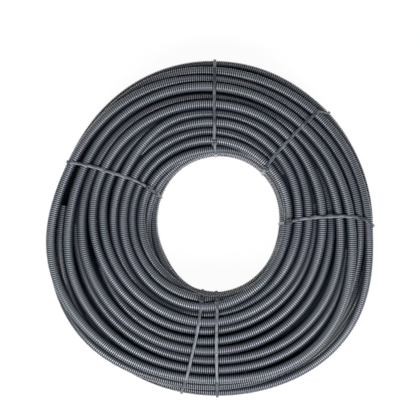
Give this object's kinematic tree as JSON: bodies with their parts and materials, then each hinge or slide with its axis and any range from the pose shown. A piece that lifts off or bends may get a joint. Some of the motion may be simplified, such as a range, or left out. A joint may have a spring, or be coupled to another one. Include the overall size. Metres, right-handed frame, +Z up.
{
  "type": "coil of corrugated conduit",
  "caption": "Coil of black corrugated plastic conduit for electric cables, lying flat and bound by cable ties.",
  "frame": {"origin": "on the floor under the coil's axis, at the level of the tie straps' undersides", "axes": "+Z up along the coil's axis, -X towards the conduit's free end, +Y ninety degrees on from +X"},
  "size_m": [0.5833, 0.5848, 0.1313],
  "materials": {
    "conduit": "semi-matte black, ribbed",
    "tie": "satin grey nylon"
  },
  "bodies": {
    "root": {"conduit": "conduit", "tie_1": "tie", "tie_2": "tie", "tie_3": "tie", "tie_4": "tie", "tie_5": "tie", "tie_6": "tie"}
  },
  "joints": []
}
